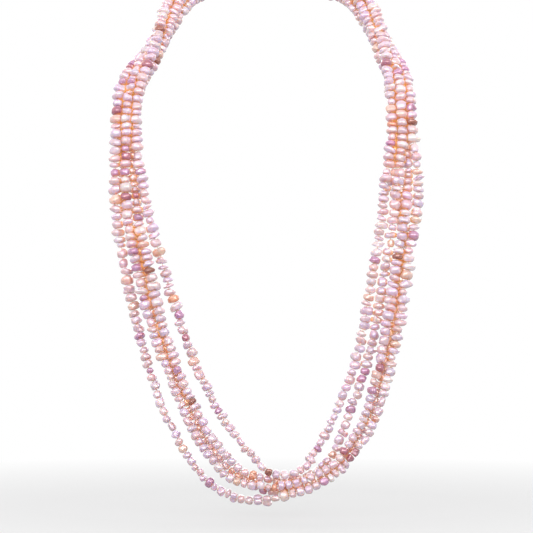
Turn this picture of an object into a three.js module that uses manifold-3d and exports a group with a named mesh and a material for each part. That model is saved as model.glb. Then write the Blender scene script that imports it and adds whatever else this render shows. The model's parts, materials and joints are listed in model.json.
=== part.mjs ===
// Five-strand freshwater pearl necklace in the shape that it takes when it is worn.
//
// Millimetres, +Z up, the wearer faces -Y and +X is on the right in a front view. The origin is in the
// middle of the neck, level with the place where the strands lie on its sides.
//
// Five strands of small pearls run from one end cone, over a shoulder, down the chest, back up and over the
// other shoulder to the second cone. At the nape each cone ends in an eye pin, a jump ring and one half of a
// magnetic clasp. A strand is a row of about 173 pearls, too many for a node each, so its solid is the row
// itself: a ridge for each pearl and a neck for each gap between two. Every strand is cut where the worn
// necklace bends, and each cut lies on a joint.
import * as THREE from "three";
import { mergeVertices } from "three/addons/utils/BufferGeometryUtils.js";
import Module from "manifold-3d";

const wasm = await Module();
wasm.setup();

// Driving dimensions.
const PEARL = { shortest: 3.1, longest: 4.6, thinnest: 1.7, thickest: 1.97, neck: 0.85, sides: 5 };
const PITCH = 4.3; // between the middles of two rows that touch
const ROUTE_SAMPLES = 1400;

const SHOULDER_CUT_Z = -65; // strands bend here when the drop swings off the chest
const CHEST_CUT_Z = -104; // and here
const TAIL_STATION = 3; // the tails swing open at this station of the bundle
const CUT_GAP = 0.5; // between two stretches of a strand

const CLASP = { centre: new THREE.Vector3(0, 51, 38), radius: 3.3, half: 6.3, faceGap: 0.3, edge: 0.6 };
const MAGNET = { radius: 2.5, depth: 2.4, clearance: 0.25, behind: 0.3 };
const WIRE = 0.45; // radius of the wire in the loops, rings and pins
const LOOP = 1.6; // radius of a soldered loop, at the middle of the wire
const RING = 2.2; // radius of a jump ring, at the middle of the wire
const LINK = 2.4; // from a loop's centre to the centre of the ring that passes through it
const CONE = { length: 12.5, mouth: 6.65, wall: 0.7, tip: 1.7, hole: 0.8, strandsInside: 3, strandsPast: 5 };
const PIN = { neck: 2.3, wrap: 0.85, wrapLength: 0.8, start: 5.4, head: 1.0, headLength: 0.6 };
const KNOT = { start: 6.4, length: 2.6, radius: 1.9, bore: 0.7, thread: 0.35, threadGap: 0.3 };

const METAL = { color: 0xd9d6cf, roughness: 0.22, metalness: 1 };
const MAGNET_METAL = { color: 0xb9bbbf, roughness: 0.3, metalness: 1 };
const SILK = { color: 0xf1e6dc, roughness: 0.7, metalness: 0 };
const NACRE = [0xf0cdd2, 0xefc3ae, 0xe3c6dc, 0xf2d3c4, 0xe8bfcb].map((color) => ({
  color,
  roughness: 0.28,
  metalness: 0,
}));

const sides = [
  { name: "left", sign: -1 },
  { name: "right", sign: 1 },
];

// ---- Places along the nape ----

const RING_WAY = new THREE.Vector3(0.955, -0.26, -0.14).normalize(); // from the clasp to the cone, at +X
const CONE_WAY = new THREE.Vector3(0.86, -0.43, -0.27).normalize();

function mirrored(vector, sign) {
  return new THREE.Vector3(vector.x * sign, vector.y, vector.z);
}

function napePlaces(sign) {
  const ringWay = mirrored(RING_WAY, sign);
  const coneWay = mirrored(CONE_WAY, sign);
  const loopOut = CLASP.faceGap / 2 + CLASP.half + LOOP - WIRE;
  const claspLoop = CLASP.centre.clone().add(new THREE.Vector3(sign * loopOut, 0, 0));
  const ring = claspLoop.clone().addScaledVector(ringWay, LINK);
  const eye = ring.clone().addScaledVector(ringWay, LINK);
  const tip = eye.clone().addScaledVector(coneWay, PIN.neck);
  const mouth = tip.clone().addScaledVector(coneWay, CONE.length);
  return { ringWay, coneWay, claspLoop, ring, eye, tip, mouth };
}

// A group whose +X points along `way` and whose +Z stays as near to upright as it can.
function frameAlong(place, way) {
  const x = way.clone().normalize();
  const y = new THREE.Vector3(0, 0, 1).cross(x).normalize();
  const z = x.clone().cross(y);
  const group = new THREE.Group();
  group.position.copy(place);
  group.quaternion.setFromRotationMatrix(new THREE.Matrix4().makeBasis(x, y, z));
  return group;
}

// ---- The bundle over the shoulders ----

// Middle of the bundle from the nape to the top of the chest, with the rough direction away from the body.
const SHOULDER = {
  left: [
    { at: [-39.5, 31, 26], out: [-0.75, 0.66, 0] },
    { at: [-46.5, 20.5, 17], out: [-0.84, 0.54, 0] },
    { at: [-52, 9.5, 6], out: [-0.85, 0.2, 0.45] },
    { at: [-56.8, -1, -5.5], out: [-0.65, -0.15, 0.7] },
    { at: [-62.5, -10.5, -15.5], out: [-0.45, -0.6, 0.6] },
    { at: [-66.5, -19, -25.5], out: [-0.25, -0.85, 0.45] },
    { at: [-68.4, -25, -36.5], out: [-0.08, -0.95, 0.3] },
    { at: [-68.6, -29, -48], out: [0, -1, 0.2] },
  ],
  right: [
    { at: [41.5, 31, 27], out: [0.75, 0.66, 0] },
    { at: [48.8, 20.5, 18], out: [0.84, 0.54, 0] },
    { at: [54.9, 9.5, 7], out: [0.85, 0.2, 0.45] },
    { at: [59.8, -1, -5.5], out: [0.65, -0.15, 0.7] },
    { at: [63, -10.5, -15.5], out: [0.45, -0.6, 0.6] },
    { at: [65, -19, -25.5], out: [0.25, -0.85, 0.45] },
    { at: [66, -25, -36.5], out: [0.08, -0.95, 0.3] },
    { at: [66.5, -29, -48], out: [0, -1, 0.2] },
  ],
};

// Where each strand lies in the bundle, in pitches: [towards the neck, towards the body].
// Over the shoulder three strands lie on two. In the cones they make a ring of five.
const ROWS = { top: -0.35, under: 0.52 };
const FLAT = {
  left: [[1, ROWS.top], [0, ROWS.top], [-0.5, ROWS.under], [0.5, ROWS.under], [-1, ROWS.top]],
  right: [[1, ROWS.top], [-0.5, ROWS.under], [0.5, ROWS.under], [0, ROWS.top], [-1, ROWS.top]],
};
const ROUND_ORDER = { left: [1, 0, 3, 2, 4], right: [1, 3, 2, 0, 4] }; // strand's place round the ring of five
const ROUND_RADIUS = 0.5 / Math.sin(Math.PI / 5);
const ROUNDED = [1, 1, 0.5]; // how round the bundle is at its first stations

// A strand's place in the bundle at a station, in pitches: [towards the neck, towards the body].
function sectionPlace(side, strand, station) {
  const [flatInward, flatDepth] = FLAT[side][strand];
  const turn = (ROUND_ORDER[side][strand] * 2 * Math.PI) / 5;
  const roundInward = ROUND_RADIUS * Math.sin(turn);
  const roundDepth = -ROUND_RADIUS * Math.cos(turn);
  const share = ROUNDED[station] ?? 0;
  return [flatInward + (roundInward - flatInward) * share, flatDepth + (roundDepth - flatDepth) * share];
}

// The bundle's stations with a frame at each: across it towards the neck, and away from the body.
function bundle(side) {
  const sign = side === "left" ? -1 : 1;
  const { mouth, coneWay } = napePlaces(sign);
  const stations = [
    { at: mouth.clone().addScaledVector(coneWay, -CONE.strandsInside), out: SHOULDER[side][0].out },
    { at: mouth.clone().addScaledVector(coneWay, CONE.strandsPast), out: SHOULDER[side][0].out },
    ...SHOULDER[side].map(({ at, out }) => ({ at: new THREE.Vector3(...at), out })),
  ];
  return stations.map(({ at, out }, i) => {
    const before = stations[Math.max(i - 1, 0)].at;
    const after = stations[Math.min(i + 1, stations.length - 1)].at;
    const forward = after.clone().sub(before).normalize();
    const away = new THREE.Vector3(...out);
    away.addScaledVector(forward, -away.dot(forward)).normalize();
    const inward = forward.clone().cross(away).multiplyScalar(sign);
    return { at, inward, away };
  });
}

const bundles = { left: bundle("left"), right: bundle("right") };

function bundlePoints(side, strand) {
  return bundles[side].map(({ at, inward, away }, station) => {
    const [towardsNeck, depth] = sectionPlace(side, strand, station);
    return at
      .clone()
      .addScaledVector(inward, towardsNeck * PITCH)
      .addScaledVector(away, -depth * PITCH);
  });
}

// ---- The strands on the chest ----

const CHEST = { top: -48, y: -26.8, slope: 0.2, crown: 6, halfWidth: 70 };

// The y of a strand's middle at (x, z): on the chest at lift 0, on top of one other strand at lift 1.
function chestPoint([x, z, lift]) {
  const lean = CHEST.slope * (CHEST.top - z);
  const crown = CHEST.crown * (1 - (x / CHEST.halfWidth) ** 2);
  return new THREE.Vector3(x, CHEST.y - lean - crown - lift * PITCH, z);
}

// Each strand's route down the chest, round the bottom and up again, as [x, z, lift]. The first strand is
// the innermost on both sides and the last is the outermost.
const DROPS = [
  [
    [-61.9, -65, 1], [-59, -82.2, 1], [-56.4, -94.4, 0.8], [-53.2, -103.5, 0.5], [-49.7, -114.6, 0], [-42.7, -137.3, 0],
    [-34.3, -159.7, 0], [-24, -180.7, 0], [-11.7, -198.6, 0.1], [-4.8, -206, 0.6], [0.4, -211, 1],
    [6, -212.6, 1], [12, -212.7, 1], [17, -210.7, 1], [20.2, -207.1, 0.8], [22.6, -202.5, 0.3],
    [26.9, -196.1, 0], [35.3, -179.6, 0], [43, -158.8, 0], [47.3, -141, 0], [50, -123.7, 0.1],
    [54, -103.5, 0.5], [56.6, -87.3, 0.9], [58.9, -65, 1],
  ],
  [
    [-69.4, -65, 1], [-68.6, -80.2, 1], [-67, -91.3, 1], [-64.8, -103.5, 1], [-62, -115.6, 1], [-58.7, -129.8, 1],
    [-53.5, -147, 1], [-49.4, -158.8, 1], [-44.2, -172.3, 1], [-38.9, -183.5, 1], [-34.4, -193.2, 1],
    [-28.9, -202.3, 1], [-22.4, -209.8, 1], [-16.3, -214.7, 1], [-9.6, -217.3, 1], [-2.9, -218.2, 1],
    [3.4, -218.1, 1], [10.6, -217.3, 1], [17.8, -215.5, 1], [25, -212.4, 1], [31.4, -207.8, 1],
    [36.6, -202.5, 1], [43.6, -191.6, 1], [49.6, -177.8, 1], [53.9, -163.2, 1], [57.5, -144, 1],
    [61, -125.8, 1], [64.4, -104.5, 1], [67, -89.3, 1], [69, -77.2, 0.75], [69.2, -65, 0.4],
  ],
  [
    [-70.6, -65, 0], [-69.4, -79.2, 0], [-66.5, -92.3, 0], [-62.4, -104.5, 0], [-59.6, -115.6, 0], [-56, -130.8, 0],
    [-50.4, -148, 0], [-46.2, -159.5, 0], [-41.2, -172.3, 0], [-36.2, -183, 0], [-31.6, -192, 0],
    [-25.8, -201.1, 0], [-19.2, -208.8, 0], [-12.5, -214.3, 0], [-5.5, -218.3, 0], [2, -220.6, 0],
    [10.5, -220.3, 0], [18, -218.5, 0], [25.6, -215.3, 0], [33, -209.7, 0], [39.2, -202.7, 0],
    [45.2, -193.1, 0], [50.6, -183.1, 0], [54.4, -172.3, 0], [57.6, -160.2, 0], [60.6, -144, 0],
    [63.2, -127.8, 0], [66.2, -109.6, 0], [66.8, -95.4, 0], [64.6, -80.2, 0], [61.8, -65, 0],
  ],
  [
    [-65.6, -65, 0], [-64.2, -77.2, 0.4], [-62.6, -90.3, 0.9], [-59.6, -103.5, 1], [-57, -115.6, 1], [-53.6, -129.8, 1],
    [-47.9, -149.1, 1], [-43.4, -161.2, 1], [-38.6, -172.3, 1], [-33.6, -182.7, 1], [-28.6, -191.6, 1],
    [-22.2, -200.3, 1], [-15.4, -207.4, 1], [-9.6, -211.8, 0.9], [-3.4, -214.5, 0.4], [3.6, -215.7, 0],
    [12, -215.5, 0], [18.6, -213.9, 0], [24.4, -210.4, 0], [29.8, -205.2, 0], [33.8, -199.1, 0],
    [37.4, -190.6, 0], [41.8, -178.8, 0], [46.6, -165.9, 0], [50.6, -152.1, 0], [54.6, -131.8, 0],
    [58.6, -111.6, 0.3], [60.2, -100.4, 0.6], [62.4, -85.3, 1], [64.8, -65, 1],
  ],
  [
    [-73.7, -65, 1], [-73, -79.2, 1], [-72, -93.4, 0.9], [-70.6, -103.5, 0.7], [-67.9, -117.7, 0.2], [-63.1, -138.3, 0],
    [-58, -157.8, 0], [-50.4, -180.1, 0], [-41, -198.6, 0], [-28.4, -215.9, 0], [-19.2, -222, 0],
    [-9.1, -224.8, 0], [-1.4, -225, 0.2], [5, -223.6, 0.8], [11.5, -221.8, 1], [18.8, -219.7, 1],
    [26.9, -216.5, 1], [35.2, -210.2, 1], [42.2, -202.1, 1], [50.6, -189.8, 1], [55.6, -177.4, 1],
    [60.2, -160.2, 1], [63.6, -142, 1], [66.6, -123.7, 1], [69.8, -104.5, 1], [72.9, -85.9, 1], [73.6, -65, 1],
  ],
];

// Numbers from 0 to 1 that are the same each time for the same seed (a linear congruential generator).
function seeded(seed) {
  let state = seed * 7919;
  return () => {
    state = (state * 1664525 + 1013904223) % 4294967296;
    return state / 4294967296;
  };
}

function strandRoute(strand) {
  return new THREE.CatmullRomCurve3(
    [
      ...bundlePoints("left", strand),
      ...DROPS[strand].map(chestPoint),
      ...bundlePoints("right", strand).reverse(),
    ],
    false,
    "centripetal",
  );
}

// ---- Cutting a strand into its stretches ----

const STRETCHES = [
  "left_tail", "left_shoulder", "left_chest", "drop", "right_chest", "right_shoulder", "right_tail",
];

// Distances along the route of its two ends and of its six cuts.
function cutsOf(samples, spacing, strand) {
  const tailCut = (side) => {
    const station = bundlePoints(side, strand)[TAIL_STATION];
    const distances = samples.map((point) => point.distanceTo(station));
    return distances.indexOf(Math.min(...distances));
  };
  const below = (z) => samples.findIndex((point) => point.z < z);
  const belowLast = (z) => samples.findLastIndex((point) => point.z < z);
  const places = [
    0,
    tailCut("left"),
    below(SHOULDER_CUT_Z),
    below(CHEST_CUT_Z),
    belowLast(CHEST_CUT_Z),
    belowLast(SHOULDER_CUT_Z),
    tailCut("right"),
    samples.length - 1,
  ];
  return places.map((sample) => sample * spacing);
}

function polygon(radius, corners) {
  const turns = Array.from({ length: corners }, (_, i) => (2 * Math.PI * (i + 0.5)) / corners);
  return new THREE.Shape(turns.map((t) => new THREE.Vector2(radius * Math.cos(t), radius * Math.sin(t))));
}

function tube(curve, radius, corners, step) {
  const steps = Math.max(1, Math.round(curve.getLength() / step));
  return new THREE.ExtrudeGeometry(polygon(radius, corners), {
    steps,
    bevelEnabled: false,
    extrudePath: curve,
  });
}

// The pearls of one stretch: the distance along the route at which each begins, and where the last one ends.
function pearlEnds(start, end, random) {
  const ends = [0];
  while (ends.at(-1) < end - start) {
    ends.push(ends.at(-1) + PEARL.shortest + (PEARL.longest - PEARL.shortest) * random());
  }
  const fit = (end - start) / ends.at(-1);
  return ends.map((distance) => start + distance * fit);
}

// A closed body of rings round a route, each ring a polygon square to the route at its place.
function ringed(places, sides) {
  const positions = [];
  const normal = new THREE.Vector3(0, 1, 0);
  for (const { point, tangent, radius } of places) {
    normal.addScaledVector(tangent, -normal.dot(tangent)).normalize();
    const side = tangent.clone().cross(normal);
    for (let corner = 0; corner < sides; corner += 1) {
      const turn = (2 * Math.PI * corner) / sides;
      const spoke = normal.clone().multiplyScalar(Math.cos(turn)).addScaledVector(side, Math.sin(turn));
      positions.push(...point.clone().addScaledVector(spoke, radius).toArray());
    }
  }
  const triangles = [];
  for (let corner = 0; corner < sides; corner += 1) {
    const next = (corner + 1) % sides;
    for (let ring = 0; ring < places.length - 1; ring += 1) {
      const here = ring * sides;
      const there = here + sides;
      triangles.push(here + corner, here + next, there + next, here + corner, there + next, there + corner);
    }
  }
  const last = (places.length - 1) * sides;
  for (let corner = 1; corner < sides - 1; corner += 1) {
    triangles.push(0, corner + 1, corner, last, last + corner, last + corner + 1);
  }
  return new THREE.BufferGeometry()
    .setAttribute("position", new THREE.Float32BufferAttribute(positions, 3))
    .setIndex(triangles);
}

function strandStretches(strand) {
  const random = seeded(strand + 1);
  const route = strandRoute(strand);
  route.arcLengthDivisions = ROUTE_SAMPLES;
  const samples = route.getSpacedPoints(ROUTE_SAMPLES);
  const total = route.getLength();
  const cuts = cutsOf(samples, total / ROUTE_SAMPLES, strand);
  const ringAt = (distance, radius) => ({
    point: route.getPointAt(distance / total),
    tangent: route.getTangentAt(distance / total),
    radius,
  });
  return STRETCHES.map((name, i) => {
    const start = cuts[i] + (i > 0 ? CUT_GAP / 2 : 0);
    const end = cuts[i + 1] - (i < STRETCHES.length - 1 ? CUT_GAP / 2 : 0);
    const ends = pearlEnds(start, end, random);
    const rings = [ringAt(ends[0], PEARL.neck)];
    for (let pearl = 1; pearl < ends.length; pearl += 1) {
      const thickness = PEARL.thinnest + (PEARL.thickest - PEARL.thinnest) * random();
      rings.push(ringAt((ends[pearl - 1] + ends[pearl]) / 2, thickness), ringAt(ends[pearl], PEARL.neck));
    }
    return { name, first: rings[0].point, last: rings.at(-1).point, geometry: ringed(rings, PEARL.sides) };
  });
}

// ---- Solids ----

function solid(geometry) {
  const bare = geometry.index ? geometry.toNonIndexed() : geometry.clone();
  bare.deleteAttribute("normal");
  bare.deleteAttribute("uv");
  const merged = mergeVertices(bare, 1e-3);
  return new wasm.Manifold(
    new wasm.Mesh({
      numProp: 3,
      vertProperties: merged.attributes.position.array,
      triVerts: new Uint32Array(merged.index.array),
    }),
  );
}

function fromSolid(made) {
  const { numProp, vertProperties, triVerts } = made.getMesh();
  if (numProp !== 3) throw new Error("a solid carries more than positions");
  return new THREE.BufferGeometry()
    .setAttribute("position", new THREE.BufferAttribute(vertProperties, 3))
    .setIndex(new THREE.BufferAttribute(triVerts, 1));
}

function joined(...geometries) {
  return fromSolid(geometries.map(solid).reduce((a, b) => a.add(b)));
}

// A turned solid along +X from [distance along X, radius] pairs.
function turned(profile, segments) {
  const points = profile.map(([x, r]) => new THREE.Vector2(r, x));
  return new THREE.LatheGeometry(points, segments).rotateZ(-Math.PI / 2);
}

function rod(from, to, radius, segments = 10) {
  return turned([[from, 0], [from, radius], [to, radius], [to, 0]], segments);
}

// A loop of wire in the plane that holds +X and +Z.
function wireLoop(at, radius) {
  return new THREE.TorusGeometry(radius, WIRE, 8, 18).rotateX(Math.PI / 2).translate(at, 0, 0);
}

function mesh(name, geometry, look) {
  const made = new THREE.Mesh(geometry, new THREE.MeshStandardMaterial(look));
  made.name = name;
  return made;
}

// ---- The hardware at the nape ----

function endCone() {
  const { length, mouth, wall, tip, hole } = CONE;
  const bell = [[0, 0.98], [1.2, 1], [4.2, 0.94], [7.4, 0.75], [10.2, 0.44]];
  const outside = [...bell.map(([x, share]) => [x, mouth * share]), [length, tip]];
  const inside = [[length, hole], [10, 2.2], [7.2, 4.25], [4.1, mouth * 0.94 - wall], [0, mouth * 0.98 - wall]];
  return turned([...outside, ...inside, outside[0]], 20);
}

// The pin's loop is its far end, `PIN.neck` past the cone's tip. Wire wraps close the loop outside the cone.
function eyePin() {
  const eye = CONE.length + PIN.neck;
  const wrapEnd = eye - LOOP + WIRE / 2;
  return joined(
    rod(PIN.start, eye - LOOP, WIRE),
    rod(PIN.start, PIN.start + PIN.headLength, PIN.head),
    rod(wrapEnd - PIN.wrapLength, wrapEnd, PIN.wrap),
    wireLoop(eye, LOOP),
  );
}

// The strands' threads are tied round the pin in one knot behind its head.
function threadKnot(coneFrame, strandEnds) {
  const { start, length, radius, bore, thread, threadGap } = KNOT;
  const barrel = [[start, bore], [start, radius * 0.8], [start + length * 0.4, radius]];
  const rest = [[start + length, radius * 0.55], [start + length, bore], [start, bore]];
  coneFrame.updateMatrixWorld(true);
  const tails = strandEnds.map((end) => {
    const from = coneFrame.worldToLocal(end.clone());
    from.x += threadGap;
    const rim = from.clone().setX(0).setLength(radius * 0.75);
    const inKnot = rim.clone().setX(start + length * 0.3);
    return tube(new THREE.LineCurve3(from, inKnot), thread, 6, CONE.length);
  });
  return joined(turned([...barrel, ...rest], 12), ...tails);
}

// Half of the clasp along +X, from its flat face to the loop soldered on its domed end.
function claspCup() {
  const { radius, half, edge } = CLASP;
  const pocket = MAGNET.radius + MAGNET.clearance;
  const floor = MAGNET.depth + MAGNET.behind;
  const face = [[floor, 0], [floor, pocket], [0, pocket], [0, radius - edge / 2]];
  const shell = [[edge, radius], [half * 0.55, radius], [half * 0.8, radius * 0.82], [half, radius * 0.4], [half, 0]];
  return joined(turned([...face, ...shell], 20), wireLoop(half + LOOP - WIRE, LOOP));
}

function claspMagnet() {
  return rod(0, MAGNET.depth, MAGNET.radius, 20);
}

// A link lies across the loops that it joins, so it is turned a quarter round +X.
function jumpRing() {
  return wireLoop(0, RING).rotateX(Math.PI / 2);
}

function napeSide({ name, sign }, strandEnds) {
  const { ringWay, coneWay, ring, mouth } = napePlaces(sign);
  const coneFrame = frameAlong(mouth, coneWay.clone().negate());
  coneFrame.add(
    mesh(name + "_end_cone", endCone(), METAL),
    mesh(name + "_eye_pin", eyePin(), METAL),
    mesh(name + "_thread_knot", threadKnot(coneFrame, strandEnds), SILK),
  );
  const ringFrame = frameAlong(ring, ringWay);
  ringFrame.add(mesh(name + "_jump_ring", jumpRing(), METAL));
  const face = CLASP.centre.clone().add(new THREE.Vector3((sign * CLASP.faceGap) / 2, 0, 0));
  const claspFrame = frameAlong(face, new THREE.Vector3(sign, 0, 0));
  claspFrame.add(
    mesh(name + "_clasp_cup", claspCup(), METAL),
    mesh(name + "_clasp_magnet", claspMagnet(), MAGNET_METAL),
  );
  return [coneFrame, ringFrame, claspFrame];
}

// ---- The necklace ----

const necklace = new THREE.Group();
const ends = { left: [], right: [] };

for (let strand = 0; strand < DROPS.length; strand += 1) {
  for (const { name, first, last, geometry } of strandStretches(strand)) {
    necklace.add(mesh(`strand_${strand + 1}_${name}`, geometry, NACRE[strand]));
    if (name === "left_tail") ends.left.push(first);
    if (name === "right_tail") ends.right.push(last);
  }
}

for (const side of sides) {
  necklace.add(...napeSide(side, ends[side.name]));
}

export default necklace;
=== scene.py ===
import json
import math

import bpy
import numpy as np
from mathutils import Matrix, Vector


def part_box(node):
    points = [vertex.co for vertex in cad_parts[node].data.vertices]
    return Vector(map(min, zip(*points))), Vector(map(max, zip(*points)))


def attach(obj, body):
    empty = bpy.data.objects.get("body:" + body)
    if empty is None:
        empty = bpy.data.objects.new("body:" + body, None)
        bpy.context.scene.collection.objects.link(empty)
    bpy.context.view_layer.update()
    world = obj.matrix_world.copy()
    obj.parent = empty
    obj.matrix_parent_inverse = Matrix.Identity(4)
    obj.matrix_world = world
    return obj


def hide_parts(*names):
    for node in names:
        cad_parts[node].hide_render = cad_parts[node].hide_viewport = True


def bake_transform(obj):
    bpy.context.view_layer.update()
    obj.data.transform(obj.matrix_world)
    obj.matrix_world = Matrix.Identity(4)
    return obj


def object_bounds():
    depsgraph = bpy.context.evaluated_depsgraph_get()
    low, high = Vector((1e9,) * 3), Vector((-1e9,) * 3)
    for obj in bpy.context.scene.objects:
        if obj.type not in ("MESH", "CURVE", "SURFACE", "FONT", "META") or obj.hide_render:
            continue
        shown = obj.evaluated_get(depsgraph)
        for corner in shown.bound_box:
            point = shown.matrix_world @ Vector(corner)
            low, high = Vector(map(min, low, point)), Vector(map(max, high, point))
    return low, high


# A five-strand freshwater pearl necklace, in the drape that it has when it is worn. Metres, +Z up, -Y front.
# Each CAD strand is a row of beads with a neck between each two. The necks are slid a little along the
# strand, and every pearl here lies between two of them, with its own shape and colours. Silk thread runs
# through the pearls, and the silver at the nape is rebuilt with its fine detail around the CAD pieces' own
# axes.

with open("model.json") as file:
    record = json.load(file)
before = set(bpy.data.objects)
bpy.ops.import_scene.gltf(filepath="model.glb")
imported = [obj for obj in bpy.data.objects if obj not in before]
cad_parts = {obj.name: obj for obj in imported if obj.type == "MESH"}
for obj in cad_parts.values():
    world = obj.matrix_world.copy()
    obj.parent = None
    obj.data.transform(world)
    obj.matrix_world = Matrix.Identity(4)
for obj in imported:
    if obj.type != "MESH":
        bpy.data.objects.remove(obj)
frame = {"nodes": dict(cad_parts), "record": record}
cad_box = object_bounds()

MM = 0.001
UP = np.array([0.0, 0.0, 1.0])
FRONT = np.array([0.0, -1.0, 0.0])
STRANDS = (1, 2, 3, 4, 5)
STRETCHES = (
    "left_tail",
    "left_shoulder",
    "left_chest",
    "drop",
    "right_chest",
    "right_shoulder",
    "right_tail",
)
BODY_OF = {n: b for b, nodes in frame["record"]["behaviour"]["bodies"].items() for n in nodes}

# Pearls.
PEARL_SEGMENTS = 24
PEARL_RINGS = 16
NECK_LINK = 1.4 * MM  # points of one neck of the CAD row are closer together than this, all others further
NEXT_NECK = 6.0 * MM  # two necks in a row are closer than this
NECK_POINTS = 4  # a neck has at least this many points
NECK_PASSES = 8  # enough for a label to reach every point of its neck
STRAND_GAP = 0.04 * MM  # left between pearls that touch
REACH = 8.0 * MM  # pearls further apart than this don't touch or shade each other
YIELD = 0.4 * MM  # how gently a pearl flattens where it meets its neighbour
JITTER = 0.34 * MM  # pearls don't lie quite in line on their thread
STAGGER = 3.8 * MM  # how far apart the rows of two strands can be slid along their strands
SETTLE = 8.0 * MM  # from a joint, the length in which a row is slid by most of that
WAVER = 1.2 * MM  # how much that changes along a strand
WAVER_RUN = 12.0 * MM
UNEVEN = 0.38 * MM  # most that the gap between two pearls is moved along the strand besides
STRAND_SHARE = 0.382  # the golden section spreads the strands' staggers evenly
STRAND_PHASE = 2.4
MOST_MOVED = 0.6 * MM  # square to the strand
PUSH_ROUNDS = 20
PUSH_SHARE = 0.2  # of an overlap, in each round
JOINT_TILT = 0.25  # pearls next to a joint lie straighter and are smaller, which leaves room to swing
JOINT_SIZE = 0.92
CONE_MARGIN = 3.0 * MM  # pearls nearer than this to an end cone's mouth, or past it, are held by it
HELD_SIZE = 0.74
SPIN = 40.0  # usual turn of a pearl about its thread, in degrees

SILK = 0.26 * MM  # the thread's radius

# The silver at the nape, with the CAD model's own sizes in mm.
CLASP_FACE_GAP = 0.3
CLASP_HALF = 6.3
MAGNET_RADIUS = 2.5
MAGNET_DEPTH = 2.4
POCKET_RADIUS = 2.75
POCKET_DEPTH = 2.7
WIRE = 0.45
WRAP_WIRE = 0.2
LOOP = 1.6
RING = 2.2
LINK = 2.4
CONE_LENGTH = 12.5
PIN_NECK = 2.3
PIN_START = 5.4
KNOT_START = 6.4
KNOT_LENGTH = 2.6
RING_WAY = (0.955, -0.26, -0.14)  # from the clasp to the cone, on the right
CONE_WAY = (0.86, -0.43, -0.27)

random = np.random.default_rng(11)


# ---- Small helpers ----


def unit(v):
    return v / np.linalg.norm(v)


def across(axis, towards):
    """The direction square to axis that is nearest to towards."""
    return unit(towards - axis * np.dot(towards, axis))


def smoothstep(low, high, value):
    t = np.clip((value - low) / (high - low), 0.0, 1.0)
    return t * t * (3.0 - 2.0 * t)


def linear(red, green, blue):
    """An sRGB colour from 0 to 255 as linear numbers."""
    c = np.array([red, green, blue]) / 255.0
    return np.where(c <= 0.04045, c / 12.92, ((c + 0.055) / 1.055) ** 2.4)


def mesh_object(name, points, faces, smooth=True):
    mesh = bpy.data.meshes.new(name)
    mesh.from_pydata([tuple(p) for p in points], [], faces)
    mesh.validate()
    mesh.update()
    if smooth:
        mesh.shade_smooth()
    obj = bpy.data.objects.new(name, mesh)
    bpy.context.scene.collection.objects.link(obj)
    return obj


def joined(parts):
    """One list of points and faces from several."""
    points = []
    faces = []
    for part_points, part_faces in parts:
        offset = len(points)
        points.extend(part_points)
        faces.extend([tuple(i + offset for i in face) for face in part_faces])
    return points, faces


def node_points(node):
    """A CAD node's separate points."""
    vertices = frame["nodes"][node].data.vertices
    flat = np.zeros(len(vertices) * 3)
    vertices.foreach_get("co", flat)
    return np.unique(np.round(flat.reshape(-1, 3), 7), axis=0)


# ---- Surfaces by rings ----


def rings_between(rings, closed=False, caps=True):
    """Faces over rings of equally many points: quads between rings, and a cap on each end."""
    count = len(rings[0])
    points = [p for ring in rings for p in ring]
    faces = []
    pairs = len(rings) if closed else len(rings) - 1
    for i in range(pairs):
        here = i * count
        there = ((i + 1) % len(rings)) * count
        for j in range(count):
            k = (j + 1) % count
            faces.append((here + j, here + k, there + k, there + j))
    if caps and not closed:
        faces.append(tuple(reversed(range(count))))
        faces.append(tuple(range(len(points) - count, len(points))))
    return points, faces


def tube(path, radius, sides=10, closed=False):
    """A round wire or thread along a list of points. The radius may be one number or one for each point."""
    path = np.asarray(path)
    count = len(path)
    radii = np.broadcast_to(radius, count)
    if closed:
        tangents = np.roll(path, -1, axis=0) - np.roll(path, 1, axis=0)
    else:
        tangents = np.gradient(path, axis=0)
    start = np.array([0.3, 0.5, 0.8])
    normal = across(unit(tangents[0]), start)
    rings = []
    for place, tangent, r in zip(path, tangents, radii):
        tangent = unit(tangent)
        normal = across(tangent, normal)
        side = np.cross(tangent, normal)
        turns = np.arange(sides) * 2.0 * math.pi / sides
        rings.append([place + r * (normal * math.cos(t) + side * math.sin(t)) for t in turns])
    return rings_between(rings, closed)


def turned(rows, segments=96, flutes=0, closed=False):
    """A turned solid along X from [distance along X, radius, flute depth] rows, in mm."""
    turns = np.arange(segments) * 2.0 * math.pi / segments
    ripple = np.cos(flutes * turns)
    rings = []
    for along, radius, depth in rows:
        r = radius + depth * ripple
        ring = np.column_stack([np.full(segments, along), r * np.cos(turns), r * np.sin(turns)])
        rings.append(ring * MM)
    return rings_between(rings, closed)


def plain(*pairs):
    """Rows of (distance along X, radius) without flutes."""
    return [(along, radius, 0.0) for along, radius in pairs]


def smooth_rows(rows, steps):
    """Rows along a smooth curve through the given rows."""
    rows = np.array(rows, dtype=float)
    padded = np.vstack([2 * rows[0] - rows[1], rows, 2 * rows[-1] - rows[-2]])
    made = []
    for before, start, end, after in zip(padded[:-3], padded[1:-2], padded[2:-1], padded[3:]):
        for t in np.arange(steps) / steps:
            bend = -0.5 * before + 1.5 * start - 1.5 * end + 0.5 * after
            curve = before - 2.5 * start + 2.0 * end - 0.5 * after
            made.append(start + 0.5 * (end - before) * t + curve * t**2 + bend * t**3)
    return [*made, rows[-1]]


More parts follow.
